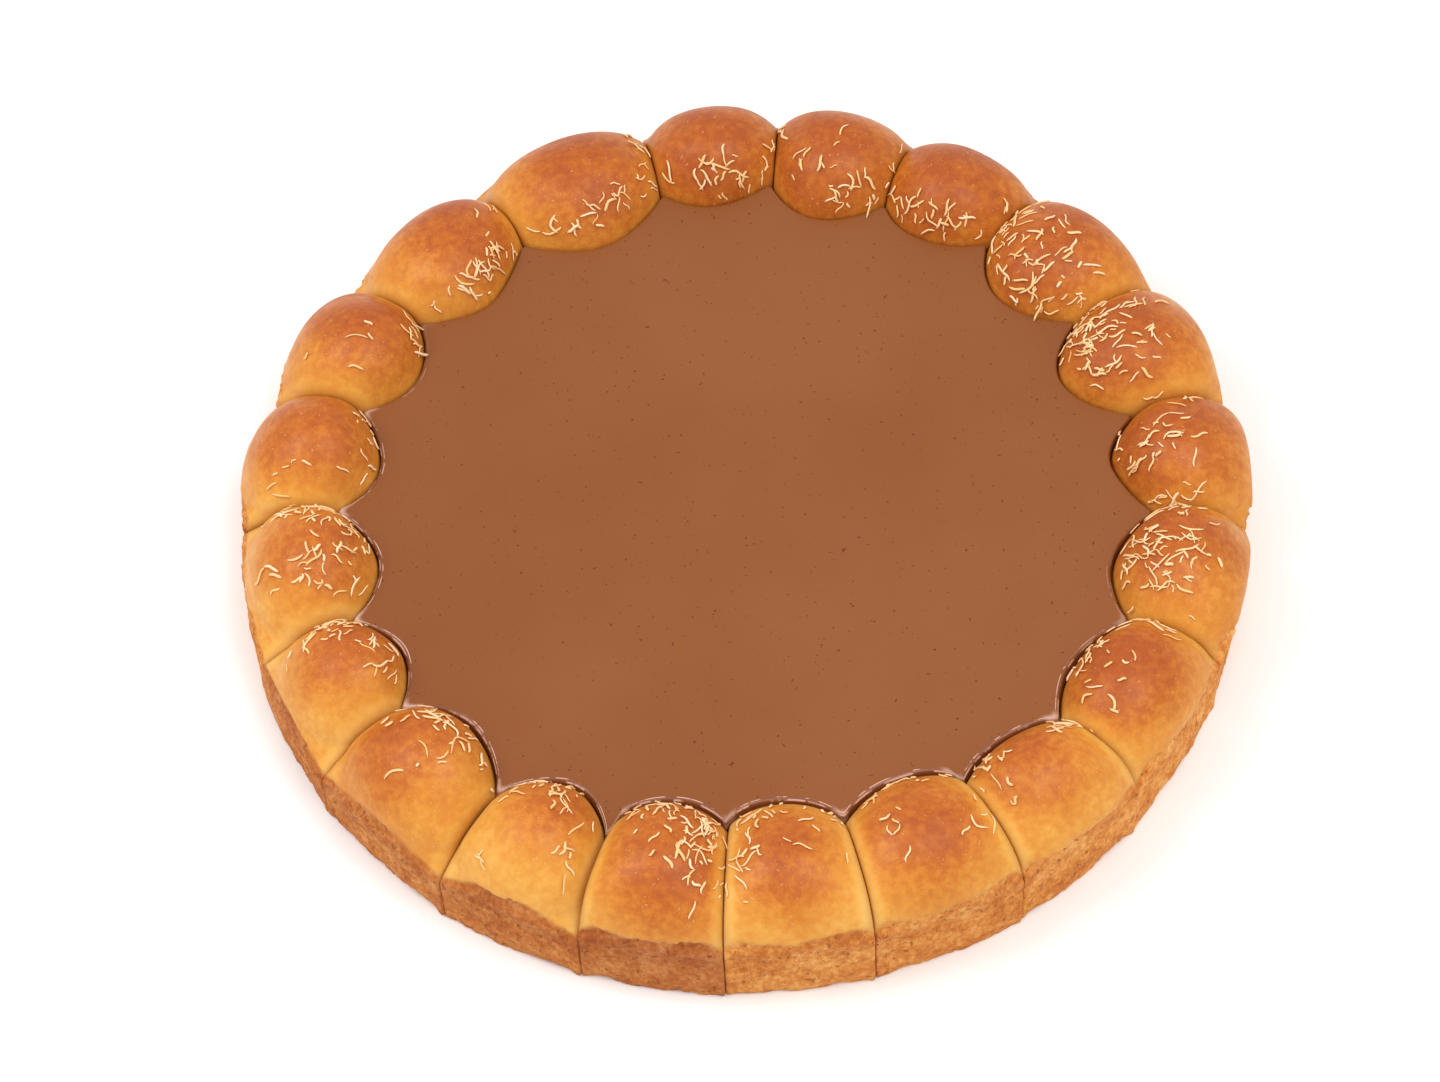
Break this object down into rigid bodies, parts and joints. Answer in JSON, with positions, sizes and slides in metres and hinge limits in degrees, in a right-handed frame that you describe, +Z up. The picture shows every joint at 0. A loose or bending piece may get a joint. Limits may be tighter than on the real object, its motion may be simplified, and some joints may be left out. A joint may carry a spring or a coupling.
{
  "type": "pull-apart bread",
  "caption": "Round pull-apart bread: a ring of soft golden rolls baked side by side, with fine shreds on top, round a flat well of smooth brown filling.",
  "frame": {"origin": "on the floor, under the middle of the ring, in the middle of the flat underside", "axes": "+Z up; +Y towards the back of the bread as pictured, +X to its right"},
  "size_m": [0.2958, 0.2943, 0.0461],
  "materials": {
    "crust": "satin, egg-washed golden-brown crust",
    "crumb": "dull, baked crumb",
    "filling": "smooth satin spread"
  },
  "bodies": {
    "root": {"roll_01": "crust", "roll_02": "crust", "roll_03": "crust", "roll_04": "crust", "roll_05": "crust", "roll_06": "crust", "roll_07": "crust", "roll_08": "crust", "roll_09": "crust", "roll_10": "crust", "roll_11": "crust", "roll_12": "crust", "roll_13": "crust", "roll_14": "crust", "roll_15": "crust", "roll_16": "crust", "roll_17": "crust", "roll_18": "crust", "roll_19": "crust", "roll_20": "crust", "base": "crumb", "filling": "filling"}
  },
  "joints": []
}
